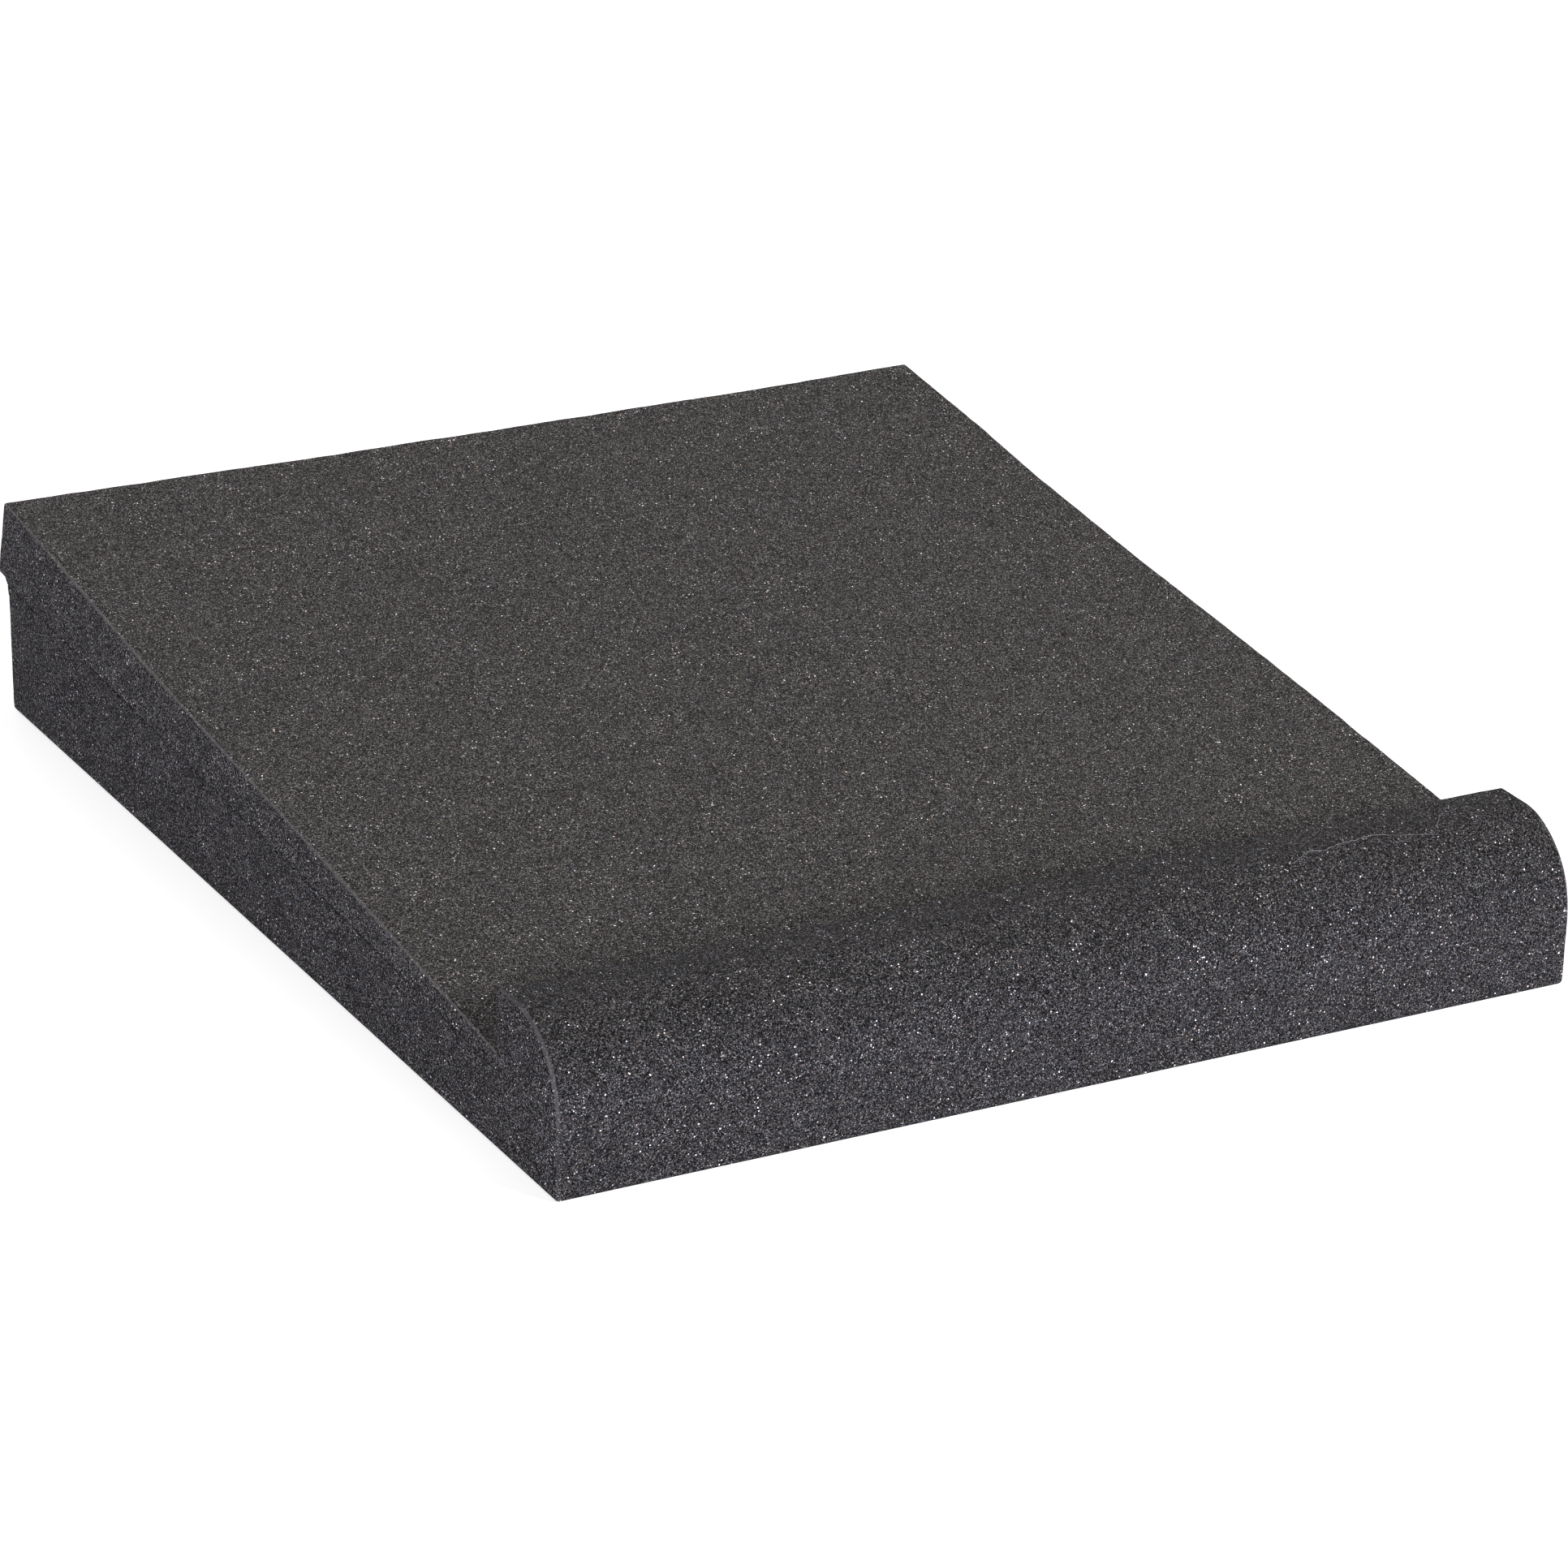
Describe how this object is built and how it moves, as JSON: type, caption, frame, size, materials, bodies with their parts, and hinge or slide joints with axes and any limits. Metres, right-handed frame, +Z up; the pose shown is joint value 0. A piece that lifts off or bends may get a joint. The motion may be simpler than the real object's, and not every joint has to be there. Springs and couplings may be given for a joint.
{
  "type": "speaker isolation pad",
  "caption": "Foam pad that a loudspeaker stands on, with a rounded front lip and a loose wedge insert that tilts the speaker.",
  "frame": {"origin": "middle of the base's flat underside, halfway between the base's front and back faces", "axes": "+Z up from the surface that the pad stands on, -Y towards the lip at the front, +X to the pad's right seen from its front"},
  "size_m": [0.25, 0.3062, 0.0526],
  "materials": {
    "base_foam": "matt open-cell charcoal foam with a fine speckled cell grain",
    "wedge_foam": "matt open-cell charcoal foam with a fine speckled cell grain, cut top slightly warmer"
  },
  "bodies": {
    "root": {"base_pad": "base_foam", "wedge_insert": "wedge_foam"}
  },
  "joints": []
}
